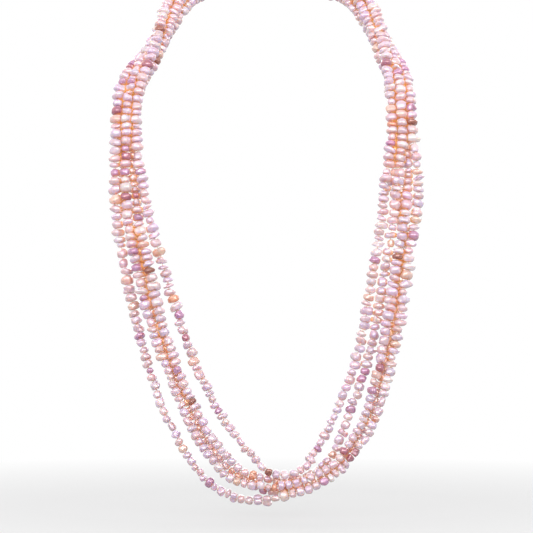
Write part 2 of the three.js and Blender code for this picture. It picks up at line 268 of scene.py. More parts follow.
def ball(centre, radius, segments=12, rings=8):
    """A small bead, in mm."""
    tilt = math.pi * np.arange(1, rings) / rings
    turn = 2.0 * math.pi * np.arange(segments) / segments
    points = [(0.0, 0.0, 1.0)]
    for a in tilt:
        for b in turn:
            points.append((math.sin(a) * math.cos(b), math.sin(a) * math.sin(b), math.cos(a)))
    points.append((0.0, 0.0, -1.0))
    return (np.array(points) * radius + centre) * MM, sphere_faces(segments, rings)


def ring_path(centre, radius, start, end, plane, steps=64):
    """Points in mm round a centre on X, from one angle to another, in the XZ plane or the XY plane."""
    angles = np.linspace(start, end, steps)
    flat = np.stack([radius * np.cos(angles) + centre, radius * np.sin(angles)], axis=1)
    still = np.zeros(steps)
    if plane == "XZ":
        return np.column_stack([flat[:, 0], still, flat[:, 1]])
    return np.column_stack([flat[:, 0], flat[:, 1], still])


def wire(path, radius, closed=False):
    """Round wire along points in mm."""
    if closed:
        path = path[:-1]
    return tube(np.asarray(path) * MM, radius * MM, sides=14, closed=closed)


def sphere_faces(segments, rings):
    """Faces of a globe whose points are a pole, rings from it to the other pole, and that pole."""
    last = 1 + (rings - 1) * segments
    faces = []
    for j in range(segments):
        k = (j + 1) % segments
        faces.append((0, 1 + j, 1 + k))
        for i in range(rings - 2):
            here = 1 + i * segments
            there = here + segments
            faces.append((here + j, there + j, there + k, here + k))
        faces.append((last, last - segments + k, last - segments + j))
    return faces


# ---- Camera, light and floor ----


def add_camera():
    """At the photograph's angle: level with the middle of the drape, far enough away for a long lens."""
    distance = 1.5
    height = -0.11325
    width_seen = 0.2665
    sensor = 36.0
    camera = bpy.data.cameras.new("camera")
    camera.sensor_width = sensor
    camera.lens = sensor * distance / width_seen
    obj = bpy.data.objects.new("camera", camera)
    obj.location = (0.0, -distance, height)
    obj.rotation_euler = (math.radians(90.0), 0.0, 0.0)
    bpy.context.scene.collection.objects.link(obj)
    bpy.context.scene.camera = obj


def add_softbox(name, place, target, size, power):
    light = bpy.data.lights.new(name, "AREA")
    light.shape = "RECTANGLE"
    light.size, light.size_y = size
    light.energy = power
    obj = bpy.data.objects.new(name, light)
    away = unit(np.array(place) - np.array(target))
    side = across(away, np.array([1.0, 0.0, 0.0]))
    top = np.cross(away, side)
    matrix = np.eye(4)
    matrix[:3, 0] = side
    matrix[:3, 1] = top
    matrix[:3, 2] = away
    matrix[:3, 3] = place
    obj.matrix_world = Matrix(matrix)
    bpy.context.scene.collection.objects.link(obj)


def add_world():
    """A plain white surround to the camera. It lights the object like a tent with two wide softboxes a little
    above level, one in front and one behind."""
    tent_strength = 1.05
    box_strength = 5.8
    world = bpy.data.worlds.new("studio")
    bpy.context.scene.world = world
    world.use_nodes = True
    nodes = world.node_tree.nodes
    links = world.node_tree.links
    direction = nodes.new("ShaderNodeSeparateXYZ")
    links.new(nodes.new("ShaderNodeTexCoord").outputs["Generated"], direction.inputs["Vector"])
    from_middle = nodes.new("ShaderNodeMath")
    from_middle.operation = "ABSOLUTE"
    links.new(direction.outputs["Y"], from_middle.inputs[0])
    above = add_range(nodes, links, direction.outputs["Z"], 0.0, 1.0, 0.26, 0.3)
    below = add_range(nodes, links, direction.outputs["Z"], 1.0, 0.0, 0.4, 0.46)
    facing = add_range(nodes, links, from_middle.outputs["Value"], 0.0, 1.0, 0.6, 0.72)
    box = multiplied(nodes, links, multiplied(nodes, links, above, below), facing)
    lighting = add_range(nodes, links, box, tent_strength, box_strength)
    rays = nodes.new("ShaderNodeLightPath")
    strength = add_range(nodes, links, rays.outputs["Is Camera Ray"], 0.0, 1.0)
    links.new(lighting, strength.node.inputs["To Min"])
    links.new(strength, nodes["Background"].inputs["Strength"])
    nodes["Background"].inputs["Color"].default_value = (1.0, 1.0, 1.0, 1.0)


def add_studio():
    """The tent, and a small softbox in front on each side, the left one brighter."""
    add_world()
    middle = (0.0, -0.03, -0.1)
    size = (0.22, 0.22)
    add_softbox("left_softbox", (-0.36, -0.8, 0.36), middle, size, 0.8)
    add_softbox("right_softbox", (0.36, -0.8, 0.36), middle, size, 0.64)
    bpy.context.scene.view_settings.view_transform = "Standard"


def add_floor():
    """Pale under the object, where it takes a soft shadow, and fading into the surround further out."""
    size = 3.0
    gap = 6.0 * MM
    z = cad_box[0][2] - gap
    corners = [(-size, -size, z), (size, -size, z), (size, size, z), (-size, size, z)]
    floor = mesh_object("floor", corners, [(0, 1, 2, 3)], smooth=False)
    material, nodes, links, shader = node_material("studio_floor")
    shader.inputs["Roughness"].default_value = 0.9
    shader.inputs["Specular IOR Level"].default_value = 0.1
    shader.inputs["Base Color"].default_value = (0.45, 0.45, 0.452, 1.0)
    rays = nodes.new("ShaderNodeLightPath")
    seen = rays.outputs["Is Camera Ray"]
    surround = nodes.new("ShaderNodeEmission")
    surround.inputs["Color"].default_value = (1.0, 1.0, 1.0, 1.0)
    from_middle = nodes.new("ShaderNodeVectorMath")
    from_middle.operation = "LENGTH"
    links.new(place_of(nodes), from_middle.inputs[0])
    fade = add_range(nodes, links, from_middle.outputs["Value"], 0.55, 1.0, 0.26, 0.45)
    mix = nodes.new("ShaderNodeMixShader")
    links.new(multiplied(nodes, links, fade, seen), mix.inputs["Fac"])
    links.new(shader.outputs["BSDF"], mix.inputs[1])
    links.new(surround.outputs["Emission"], mix.inputs[2])
    links.new(mix.outputs["Shader"], nodes["Material Output"].inputs["Surface"])
    floor.data.materials.append(material)


# ---- Materials ----


def node_material(name):
    material = bpy.data.materials.new(name)
    material.use_nodes = True
    nodes = material.node_tree.nodes
    links = material.node_tree.links
    shader = nodes["Principled BSDF"]
    return material, nodes, links, shader


def place_of(nodes):
    """The place on the piece itself, in metres."""
    return nodes.new("ShaderNodeTexCoord").outputs["Object"]


def add_noise(nodes, links, scale, detail=3.0, roughness=0.5):
    noise = nodes.new("ShaderNodeTexNoise")
    noise.inputs["Scale"].default_value = scale
    noise.inputs["Detail"].default_value = detail
    noise.inputs["Roughness"].default_value = roughness
    links.new(place_of(nodes), noise.inputs["Vector"])
    return noise.outputs["Fac"]


def add_ramp(nodes, links, value, stops):
    ramp = nodes.new("ShaderNodeValToRGB")
    elements = ramp.color_ramp.elements
    while len(elements) < len(stops):
        elements.new(0.5)
    for element, (position, colour) in zip(elements, stops):
        element.position = position
        element.color = (*colour, 1.0)
    links.new(value, ramp.inputs["Fac"])
    return ramp.outputs["Color"]


def add_range(nodes, links, value, low, high, from_low=0.0, from_high=1.0):
    spread = nodes.new("ShaderNodeMapRange")
    spread.inputs["From Min"].default_value = from_low
    spread.inputs["From Max"].default_value = from_high
    spread.inputs["To Min"].default_value = low
    spread.inputs["To Max"].default_value = high
    links.new(value, spread.inputs["Value"])
    return spread.outputs["Result"]


def multiplied(nodes, links, first, second):
    product = nodes.new("ShaderNodeMath")
    product.operation = "MULTIPLY"
    links.new(first, product.inputs[0])
    links.new(second, product.inputs[1])
    return product.outputs["Value"]


def add_bump(nodes, links, shader, height, distance, strength=1.0):
    bump = nodes.new("ShaderNodeBump")
    bump.inputs["Distance"].default_value = distance
    bump.inputs["Strength"].default_value = strength
    links.new(height, bump.inputs["Height"])
    links.new(bump.outputs["Normal"], shader.inputs["Normal"])


def add_mix(nodes, links, share, first, second, kind="MIX"):
    """A mix of two colours. share is a number or a socket, and so is each colour."""
    mix = nodes.new("ShaderNodeMix")
    mix.data_type = "RGBA"
    mix.blend_type = kind
    sockets = {"Factor": 0, "A": 6, "B": 7}
    for name, value in (("Factor", share), ("A", first), ("B", second)):
        socket = mix.inputs[sockets[name]]
        if isinstance(value, bpy.types.NodeSocket):
            links.new(value, socket)
        else:
            socket.default_value = value
    return mix.outputs[2]


def nacre_material():
    """Nacre: each pearl's own tint with painted shade in warm colours where neighbours touch, soft cloudy
    overtones, a satin reflecting body under a bright coat, and a faint painted glow, by emission, where
    pearls touch."""
    material, nodes, links, shader = node_material("nacre")
    # The 'tint' colours hold each pearl's own colour and its painted shade.
    tint = nodes.new("ShaderNodeAttribute")
    tint.attribute_name = "tint"
    lustre = nodes.new("ShaderNodeAttribute")
    lustre.attribute_name = "lustre"
    clouds = add_noise(nodes, links, scale=420.0, detail=3.0, roughness=0.55)
    overtone = add_ramp(
        nodes,
        links,
        clouds,
        [(0.34, (1.0, 0.93, 0.88)), (0.5, (0.98, 0.97, 0.98)), (0.66, (0.95, 0.93, 1.0))],
    )
    body = add_mix(nodes, links, 1.0, tint.outputs["Color"], overtone, "MULTIPLY")
    specks = add_noise(nodes, links, scale=2600.0, detail=2.0, roughness=0.6)
    pits = add_ramp(nodes, links, specks, [(0.2, (0.86, 0.8, 0.78)), (0.34, (1.0, 1.0, 1.0))])
    links.new(add_mix(nodes, links, 0.6, body, pits, "MULTIPLY"), shader.inputs["Base Color"])
    satin = add_range(nodes, links, lustre.outputs["Fac"], 0.3, 0.14)
    grain = add_range(nodes, links, clouds, -0.05, 0.07)
    rough = nodes.new("ShaderNodeMath")
    rough.operation = "ADD"
    links.new(satin, rough.inputs[0])
    links.new(grain, rough.inputs[1])
    links.new(rough.outputs["Value"], shader.inputs["Roughness"])
    # Painted glow: the emission shows the 'through' colours, which are orange where pearls are most shaded.
    through = nodes.new("ShaderNodeAttribute")
    through.attribute_name = "through"
    links.new(through.outputs["Color"], shader.inputs["Emission Color"])
    shader.inputs["Emission Strength"].default_value = 0.15
    ridges = add_noise(nodes, links, scale=750.0, detail=3.0, roughness=0.55)
    add_bump(nodes, links, shader, ridges, 0.07 * MM, 0.4)
    shader.inputs["IOR"].default_value = 1.65
    shader.inputs["Specular IOR Level"].default_value = 0.5
    shader.inputs["Specular Tint"].default_value = (0.93, 0.9, 1.0, 1.0)
    shader.inputs["Metallic"].default_value = 0.25
    shader.inputs["Subsurface Weight"].default_value = 0.9
    shader.inputs["Subsurface Radius"].default_value = (1.0, 0.72, 0.4)
    shader.inputs["Subsurface Scale"].default_value = 2.0 * MM
    shader.inputs["Coat Weight"].default_value = 1.0
    shader.inputs["Coat Roughness"].default_value = 0.05
    shader.inputs["Coat IOR"].default_value = 2.0
    shader.inputs["Sheen Weight"].default_value = 0.05
    shader.inputs["Sheen Roughness"].default_value = 0.3
    shader.inputs["Sheen Tint"].default_value = (0.93, 0.84, 1.0, 1.0)
    return material


def silk_material():
    """Silk cord: a fine diagonal twist, soft sheen."""
    material, nodes, links, shader = node_material("silk_thread")
    fuzz = add_noise(nodes, links, scale=3500.0, detail=3.0)
    colour = add_ramp(nodes, links, fuzz, [(0.3, (0.62, 0.5, 0.42)), (0.7, (0.86, 0.78, 0.7))])
    links.new(colour, shader.inputs["Base Color"])
    wave = nodes.new("ShaderNodeTexWave")
    wave.bands_direction = "DIAGONAL"
    wave.inputs["Scale"].default_value = 1400.0
    wave.inputs["Distortion"].default_value = 1.5
    links.new(place_of(nodes), wave.inputs["Vector"])
    add_bump(nodes, links, shader, wave.outputs["Fac"], 0.05 * MM, 0.8)
    links.new(add_range(nodes, links, fuzz, 0.55, 0.8), shader.inputs["Roughness"])
    shader.inputs["Sheen Weight"].default_value = 0.4
    shader.inputs["Sheen Tint"].default_value = (1.0, 0.95, 0.9, 1.0)
    return material


def silver_material(name, light, dark, smooth, worn, scratch_scale):
    """Polished metal, darker in its recesses, with faint cloudy tarnish and a bump of fine scratches."""
    material, nodes, links, shader = node_material(name)
    recess = nodes.new("ShaderNodeAttribute")
    recess.attribute_name = "recess"
    clouds = add_noise(nodes, links, scale=260.0, detail=4.0)
    polished = add_ramp(nodes, links, clouds, [(0.3, tuple(0.8 * np.array(light))), (0.62, light)])
    depth = add_range(nodes, links, recess.outputs["Fac"], 0.0, 1.0, 0.5, 0.85)
    links.new(add_mix(nodes, links, depth, polished, (*dark, 1.0)), shader.inputs["Base Color"])
    shader.inputs["Metallic"].default_value = 1.0
    rubbed = add_range(nodes, links, clouds, worn, smooth, 0.3, 0.7)
    rough = nodes.new("ShaderNodeMath")
    rough.operation = "MULTIPLY_ADD"
    links.new(depth, rough.inputs[0])
    rough.inputs[1].default_value = 0.25
    links.new(rubbed, rough.inputs[2])
    links.new(rough.outputs["Value"], shader.inputs["Roughness"])
    scratches = add_noise(nodes, links, scale=scratch_scale, detail=5.0, roughness=0.7)
    add_bump(nodes, links, shader, scratches, 0.006 * MM, 0.5)
    return material


# ---- Where the pearls go ----


def neck_centres(node):
    """The necks of a CAD bead row, in order along it."""
    points = node_points(node)
    apart = np.linalg.norm(points[:, None] - points[None], axis=2)
    near = apart < NECK_LINK
    label = np.arange(len(points))
    for _ in range(NECK_PASSES):
        label = np.array([label[row].min() for row in near])
    groups = [points[label == k] for k in np.unique(label)]
    centres = np.array([group.mean(axis=0) for group in groups if len(group) >= NECK_POINTS])
    apart = np.linalg.norm(centres[:, None] - centres[None], axis=2)
    neighbours = (apart < NEXT_NECK).sum(axis=1) - 1
    order = [int(np.argmin(neighbours))]
    left = set(range(len(centres))) - set(order)
    while left:
        nearest = min(left, key=lambda k: apart[order[-1], k])
        order.append(nearest)
        left.remove(nearest)
    return centres[order]


def slid(row, strand):
    """A stretch's necks moved along it, so that pearls of neighbouring strands don't line up and no two are
    quite as long. Its two ends stay in place."""
    run = np.append(0.0, np.cumsum(np.linalg.norm(np.diff(row, axis=0), axis=1)))
    from_end = np.minimum(run, run[-1] - run)
    share = 1.0 - np.exp(-from_end / SETTLE)
    stagger = (strand * STRAND_SHARE % 1.0 - 0.5) * STAGGER
    stagger = stagger + WAVER * np.sin(run / WAVER_RUN + strand * STRAND_PHASE)
    places = run + share * (stagger + random.uniform(-UNEVEN, UNEVEN, len(run)))
    return np.column_stack([np.interp(places, run, row[:, k]) for k in range(3)])


def strand_necks(strand):
    """The slid necks of each stretch of a strand, all running from the necklace's left end to its right."""
    low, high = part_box("left_end_cone")
    reached = (np.array(low) + np.array(high)) / 2.0
    necks = {}
    for stretch in STRETCHES:
        row = neck_centres(f"strand_{strand}_{stretch}")
        if np.linalg.norm(row[-1] - reached) < np.linalg.norm(row[0] - reached):
            row = row[::-1]
        necks[stretch] = slid(row, strand)
        reached = row[-1]
    return necks


# ---- Pearls ----

WIDEST = 1.8  # a pearl's greatest width, as a share of its length along the strand
SQUARENESS = 0.72  # below 1 the ends are flatter than a globe's
BUTTON_SQUARENESS = 0.64
WAIST_WIDTH = 0.3  # of a twin pearl, as a share of its half width
WAIST_DEPTH = 0.24
GROOVED = 0.4  # share of the baroque and potato pearls that have a groove
GROOVE_WIDTH = 0.13
GROOVE_DEPTH = 0.07
OVERLENGTH = 1.03  # pearls are this much too long, and are then pressed flat where they meet
HOLE_RADIUS = 0.5 * MM
HOLE_DIP = 0.16

# Kinds of pearl: share, half width across the strand, half depth, how lumpy, and most tilt in degrees.
KINDS = {
    "potato": (0.30, (2.1, 2.6), (2.0, 2.4), 0.045, 24.0),
    "button": (0.18, (2.3, 2.9), (2.2, 2.6), 0.035, 18.0),
    "rice": (0.20, (2.5, 3.1), (1.9, 2.2), 0.035, 30.0),
    "slim": (0.07, (1.6, 2.0), (1.5, 1.9), 0.04, 18.0),
    "twin": (0.08, (2.6, 3.2), (1.9, 2.2), 0.035, 26.0),
    "baroque": (0.17, (2.2, 3.0), (2.0, 2.6), 0.09, 34.0),
}

# Colours of pearls: share and sRGB colour.
TINTS = (
    (0.36, (225, 193, 201)),
    (0.33, (220, 196, 214)),
    (0.18, (233, 213, 219)),
    (0.05, (230, 192, 180)),
    (0.01, (222, 152, 116)),
    (0.03, (194, 140, 176)),
    (0.015, (176, 96, 118)),
    (0.01, (156, 78, 50)),
)
SALMON_SHADE = linear(252, 198, 160)  # painted shade: warm salmon where neighbouring pearls in the row shade a pearl, round its drill holes
CREVICE_SHADE = linear(255, 218, 124)  # painted shade: warm orange where strands touch and shade each other, for light bounced between pearls
THROUGH_GLOW = linear(250, 190, 118)  # painted glow, given to the emission: the light that would come through the pearls to where they touch


def pick(shares):
    shares = np.array(shares)
    return int(random.choice(len(shares), p=shares / shares.sum()))


def between(low_high):
    return random.uniform(*low_high)


def globe():
    """Points of a unit globe with poles on Z, in the order that sphere_faces expects."""
    tilt = np.pi * np.arange(1, PEARL_RINGS) / PEARL_RINGS
    turn = 2.0 * np.pi * np.arange(PEARL_SEGMENTS) / PEARL_SEGMENTS
    flat = np.stack([np.cos(turn), np.sin(turn)], axis=1)
    rings = [np.column_stack([flat * math.sin(t), np.full(len(turn), math.cos(t))]) for t in tilt]
    return np.vstack([[[0.0, 0.0, 1.0]], *rings, [[0.0, 0.0, -1.0]]])


GLOBE = globe()
GLOBE_FACES = sphere_faces(PEARL_SEGMENTS, PEARL_RINGS)


def lumps(strength):
    """A smooth uneven factor over the globe."""
    factor = np.ones(len(GLOBE))
    for _ in range(5):
        direction = unit(random.normal(size=3))
        waves = random.uniform(1.2, 3.4)
        height = strength * random.uniform(0.4, 1.0)
        phase = random.uniform(0, 6.3)
        factor += height * np.cos(waves * GLOBE @ direction * 2.0 + phase)
    return factor


def tilted(points, degrees, turn):
    """points turned by degrees about an axis that lies across the strand."""
    angle = math.radians(degrees)
    axis = np.array([math.cos(turn), math.sin(turn), 0.0])
    along = points @ axis
    return (
        points * math.cos(angle)
        + np.cross(axis, points) * math.sin(angle)
        + np.outer(along, axis) * (1.0 - math.cos(angle))
    )


def pearl_shape(kind, length, size, tilt_share):
    """A pearl's points about its middle, Z along the strand and X across it, and its mean half width."""
    _, widths, depths, lumpy, most_tilt = KINDS[kind]
    half = length / 2.0
    wide = min(between(widths) * size * MM, WIDEST * half)
    deep = min(between(depths) * size * MM, WIDEST * half)
    points = GLOBE * lumps(lumpy)[:, None]
    squareness = BUTTON_SQUARENESS if kind == "button" else SQUARENESS
    points[:, 2] = np.sign(points[:, 2]) * np.abs(points[:, 2]) ** squareness
    if kind == "twin":
        waist = np.exp(-((points[:, 0] / WAIST_WIDTH) ** 2))
        points[:, 1:] *= (1.0 - WAIST_DEPTH * waist)[:, None]
    if kind in ("baroque", "potato") and random.random() < GROOVED:
        groove = np.exp(-(((points[:, 2] - random.uniform(-0.4, 0.4)) / GROOVE_WIDTH) ** 2))
        points[:, :2] *= (1.0 - GROOVE_DEPTH * groove)[:, None]
    points = points * np.array([wide, deep, half])
    tilt = tilt_share * random.uniform(-most_tilt, most_tilt)
    points = tilted(points, tilt, random.uniform(0.0, 2.0 * math.pi))
    points[:, 2] -= (points[:, 2].max() + points[:, 2].min()) / 2.0
    points[:, 2] *= half * OVERLENGTH / points[:, 2].max()
    near_hole = np.exp(-((np.linalg.norm(points[:, :2], axis=1) / HOLE_RADIUS) ** 2))
    points[:, 2] *= 1.0 - HOLE_DIP * near_hole
    return points, (wide + deep) / 2.0


def depth_in_cone(place):
    """How far a place is past the mouth of the end cone on its side of the necklace."""
    side = "left" if place[0] < 0.0 else "right"
    mouth, axes = nape_frames(side)["cone"]
    return (place - mouth) @ axes[0]


def lay_out_pearls(necks):
    """Every pearl of the necklace with its place, direction, shape and tint."""
    pearls = []
    for strand in STRANDS:
        for stretch in STRETCHES:
            row = necks[strand][stretch]
            last = len(row) - 2
            for i, (first, second) in enumerate(zip(row[:-1], row[1:])):
                centre = (first + second) / 2.0
                length = np.linalg.norm(second - first)
                kind = list(KINDS)[pick([share for share, *_ in KINDS.values()])]
                size = np.interp(centre[2], (-0.2, -0.16, -0.13), (0.87, 1.0, 1.22))
                held = depth_in_cone(centre) > -CONE_MARGIN
                if held:
                    kind = "potato"
                    size = HELD_SIZE
                tilt_share = 1.0
                if i in (0, last):
                    tilt_share = JOINT_TILT
                    size *= JOINT_SIZE
                shape, radius = pearl_shape(kind, length, size, tilt_share)
                axis = unit(second - first)
                wide = across(axis, np.cross(axis, FRONT))
                spin = math.radians(random.normal(0.0, SPIN))
                turned_wide = wide * math.cos(spin) + np.cross(axis, wide) * math.sin(spin)
                base = linear(*TINTS[pick([share for share, _ in TINTS])][1])
                # Pearls are a little darker towards the bottom of the drape.
                base = base * np.interp(centre[2], (-0.2, -0.06), (0.9, 1.0))
                hue = random.uniform(0.96, 1.04, 3)
                brightness = random.uniform(0.94, 1.04)
                pearls.append(
                    {
                        "node": f"strand_{strand}_{stretch}",
                        "strand": strand,
                        "centre": centre,
                        "held": held,
                        "axes": np.array([turned_wide, np.cross(axis, turned_wide), axis]),
                        "length": length,
                        "radius": radius,
                        "shape": shape,
                        "tint": np.clip(base * hue * brightness, 0, 1),
                        "lustre": random.uniform(0.25, 1.0),
                    }
                )
    return pearls


def nestle(pearls):
    """Moves pearls of neighbouring strands apart, square to their strands, so that they lie between each
    other. The ones that the end cones hold stay where they are."""
    centres = np.array([p["centre"] for p in pearls])
    axes = np.array([p["axes"][2] for p in pearls])
    radii = np.array([p["radius"] for p in pearls])
    strands = np.array([p["strand"] for p in pearls])
    free = np.array([not p["held"] for p in pearls])
    moved = random.normal(0.0, JITTER, (len(pearls), 3))
    first, second = np.nonzero(np.linalg.norm(centres[:, None] - centres[None], axis=2) < REACH)
    crossing = strands[first] != strands[second]
    first, second = first[crossing], second[crossing]
    for _ in range(PUSH_ROUNDS):
        gap = centres[first] + moved[first] - centres[second] - moved[second]
        apart = np.linalg.norm(gap, axis=1)
        push = np.maximum(radii[first] + radii[second] - apart, 0.0) * PUSH_SHARE / apart
        np.add.at(moved, first, gap * push[:, None])
        moved -= axes * (moved * axes).sum(axis=1)[:, None]
        far = np.linalg.norm(moved, axis=1)
        moved *= (free * np.minimum(1.0, MOST_MOVED / np.maximum(far, 1e-9)))[:, None]
    for pearl, move in zip(pearls, moved):
        pearl["moved"] = move
        pearl["centre"] = pearl["centre"] + move


def settle(pearls):
    """Puts each pearl in place, flattened where it meets its neighbours. Also finds how shaded it is."""
    centres = np.array([p["centre"] for p in pearls])
    radii = np.array([p["radius"] for p in pearls])
    lengths = np.array([p["length"] for p in pearls])
    strands = np.array([p["strand"] for p in pearls])
    for i, pearl in enumerate(pearls):
        away = centres - pearl["centre"]
        apart = np.linalg.norm(away, axis=1)
        near = np.flatnonzero((apart < REACH) & (apart > 0.0))
        points = pearl["shape"] @ pearl["axes"]
        for j in near:
            in_row = strands[j] == pearl["strand"]
            mine, other = (lengths[i], lengths[j]) if in_row else (radii[i], radii[j])
            room = apart[j] * mine / (mine + other) - STRAND_GAP / 2.0
            direction = away[j] / apart[j]
            over = points @ direction - (room - YIELD)
            pressed = np.where(over > 0.0, YIELD * (1.0 - np.exp(-np.maximum(over, 0.0) / YIELD)), over)
            points += np.outer(pressed - over, direction)
        outward = points / np.linalg.norm(points, axis=1)[:, None]
        shade = np.zeros(len(points))
        for j in near:
            to_other = away[j] - points
            distance = np.linalg.norm(to_other, axis=1)
            facing = np.maximum((outward * to_other).sum(axis=1) / distance, 0.0)
            shade += facing * np.minimum((radii[j] / distance) ** 2, 1.0)
        pearl["points"] = points + pearl["centre"]
        pearl["shade"] = shade


def blended(first, second, share):
    return first * (1.0 - share[:, None]) + second * share[:, None]


def add_pearls(node, pearls, material):
    """One piece for a stretch of a strand: its separate pearls, with painted shade and a painted glow in
    their colours.
    """
    points, faces = joined([(p["points"], GLOBE_FACES) for p in pearls])
    obj = mesh_object(node.replace("strand_", "pearls_"), points, faces)
    tints_with_shade = []
    through = []
    for pearl in pearls:
        # Painted shade: where neighbours shade a pearl, its tint turns salmon, then orange in the deepest
        # crevices.
        tint = blended(pearl["tint"], SALMON_SHADE, 0.7 * smoothstep(0.2, 1.0, pearl["shade"]))
        tint = blended(tint, CREVICE_SHADE, 0.9 * smoothstep(0.75, 1.6, pearl["shade"]))
        tints_with_shade.append(np.column_stack([tint, np.ones(len(tint))]))
        # Painted glow for the emission: orange light where the pearl is most shaded.
        deep = smoothstep(0.5, 1.5, pearl["shade"])
        through.append(np.column_stack([np.outer(deep, THROUGH_GLOW), np.ones(len(tint))]))
    for layer_name, values in (("tint", tints_with_shade), ("through", through)):
        layer = obj.data.attributes.new(layer_name, "FLOAT_COLOR", "POINT")
        layer.data.foreach_set("color", np.vstack(values).ravel())
    lustre_layer = obj.data.attributes.new("lustre", "FLOAT", "POINT")
    lustre_layer.data.foreach_set("value", np.repeat([p["lustre"] for p in pearls], len(GLOBE)))
    obj.data.materials.append(material)
    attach(obj, BODY_OF[node])
    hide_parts(node)


# ---- Silk ----


def add_thread(name, paths, material, body=None):
    obj = mesh_object(name, *joined([tube(path, SILK, sides=8) for path in paths]))
    obj.data.materials.append(material)
    if body:
        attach(obj, body)
    else:
        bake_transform(obj)


def threaded(row, pearls):
    """The necks of a stretch, moved as the pearls on both sides of them were. Its two ends stay in place."""
    moved = np.array([p["moved"] for p in pearls])
    path = row.copy()
    path[1:-1] += (moved[:-1] + moved[1:]) / 2.0
    return path


def add_threads(necks, pearls_of, material):
    """The thread through each stretch, by body, and the short lengths that cross each joint, which stay fixed
    and follow no body."""
    by_body = {}
    for strand in STRANDS:
        for stretch in STRETCHES:
            node = f"strand_{strand}_{stretch}"
            path = threaded(necks[strand][stretch], pearls_of[node])
            by_body.setdefault(BODY_OF[node], []).append(path)
    for body, paths in by_body.items():
        add_thread(f"silk_{body}", paths, material, body=body)
    chest_pairs = [("left_shoulder", "left_chest"), ("right_chest", "right_shoulder")]
    crossings = {
        "silk_at_chest": ("collar", "chest", chest_pairs),
        "silk_at_drop": ("chest", "drop", [("left_chest", "drop"), ("drop", "right_chest")]),
        "silk_at_left_tail": ("collar", "left_tail", [("left_tail", "left_shoulder")]),
        "silk_at_right_tail": ("collar", "right_tail", [("right_shoulder", "right_tail")]),
    }
    for name, (first_body, second_body, pairs) in crossings.items():
        paths = []
        for strand in STRANDS:
            for before, after in pairs:
                here = necks[strand][before][-1]
                there = necks[strand][after][0]
                paths.append([here + (there - here) * t for t in np.linspace(0.0, 1.0, 7)])
        add_thread(name, paths, material)


# ---- The silver at the nape ----


def frame_along(place, way):
    """A place and three directions: X along way, and Z as near to upright as it can be."""
    x = unit(np.array(way))
    y = unit(np.cross(UP, x))
    return place, np.array([x, y, np.cross(x, y)])


def placed(parts, frame_there):
    place, axes = frame_there
    points, faces = joined(parts)
    return np.array(points) @ axes + place, faces


def nape_frames(side):
    """The frames of one side's cone, jump ring and clasp half, from where the CAD pieces are."""
    sign = -1.0 if side == "left" else 1.0
    mirror = np.array([sign, 1.0, 1.0])
    low, high = (np.array(corner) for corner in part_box(f"{side}_clasp_magnet"))
    face = (low + high) / 2.0
    face[0] = sign * CLASP_FACE_GAP / 2.0 * MM
    ring_way = unit(np.array(RING_WAY) * mirror)
    cone_way = unit(np.array(CONE_WAY) * mirror)
    out = np.array([sign, 0.0, 0.0])
    clasp_loop = face + out * (CLASP_HALF + LOOP - WIRE) * MM
    ring = clasp_loop + ring_way * LINK * MM
    eye = ring + ring_way * LINK * MM
    mouth = eye + cone_way * (PIN_NECK + CONE_LENGTH) * MM
    return {
        "cone": frame_along(mouth, -cone_way),
        "ring": frame_along(ring, ring_way),
        "clasp": frame_along(face, out),
    }


def end_cone():
    """A fluted bell with a beaded rim, a collar of two rings and a rolled tip."""
    outside = smooth_rows(
        [
            *plain((0.0, 6.5), (0.5, 6.72), (1.1, 6.55)),
            *((1.5, 6.5, 0.1), (2.6, 6.4, 0.2), (4.2, 6.1, 0.24), (5.8, 5.55, 0.24)),
            *((7.4, 4.85, 0.2), (8.8, 3.95, 0.12), (9.7, 3.15, 0.03)),
        ],
        4,
    )
    collar = smooth_rows(
        [
            *plain((9.8, 3.1), (10.05, 3.3), (10.35, 3.1), (10.5, 2.8), (10.8, 2.95), (11.1, 2.7)),
            *plain((11.3, 2.15), (11.7, 1.85), (12.1, 2.05), (12.45, 1.75), (12.5, 1.2), (12.3, 0.85)),
        ],
        4,
    )
    inside = smooth_rows(
        [
            *plain((11.6, 0.8), (10.0, 2.1)),
            *((8.6, 3.3, 0.08), (7.2, 4.3, 0.14), (5.6, 5.0, 0.17), (4.1, 5.5, 0.16), (2.4, 5.75, 0.1)),
            *plain((1.0, 5.85), (0.2, 5.9)),
        ],
        4,
    )
    beads = []
    count = 44
    rim = 6.55
    for i in range(count):
        turn = 2.0 * math.pi * i / count
        beads.append(ball(np.array([1.2, rim * math.cos(turn), rim * math.sin(turn)]), 0.36))
    return [turned([*outside, *collar, *inside], segments=144, flutes=16, closed=True), *beads]


def eye_pin():
    """A flattened head in the cone, a straight stem, a loop, and four turns of finer wire that close it."""
    eye = CONE_LENGTH + PIN_NECK
    stem_end = eye - LOOP
    stem = np.column_stack([np.linspace(PIN_START, stem_end, 12), np.zeros(12), np.zeros(12)])
    loop = ring_path(eye, LOOP, -math.pi, math.pi, "XZ")
    outline = [(-0.05, 0.3), (0.0, 0.8), (0.25, 1.0), (0.5, 0.85), (0.6, 0.4)]
    head = turned(smooth_rows([(PIN_START + step, radius, 0.0) for step, radius in outline], 4), segments=32)
    turns = 4.0
    wound = np.linspace(0.0, turns, int(turns * 24))
    out = WIRE + WRAP_WIRE * 0.9
    start = stem_end - (turns - 1.0) * 2.0 * WRAP_WIRE
    wrap = np.column_stack([
        start + wound * 2.0 * WRAP_WIRE,
        out * np.cos(wound * 2.0 * math.pi),
        out * np.sin(wound * 2.0 * math.pi),
    ])
    return [wire(stem, WIRE), wire(loop, WIRE, closed=True), wire(wrap, WRAP_WIRE), head]


def jump_ring():
    """Round wire bent to a ring, with the fine cut where its ends meet."""
    cut = math.radians(1.6)
    cut_place = 1.9
    path = ring_path(0.0, RING, cut + cut_place, 2.0 * math.pi - cut + cut_place, "XY", steps=96)
    return [wire(path, WIRE)]


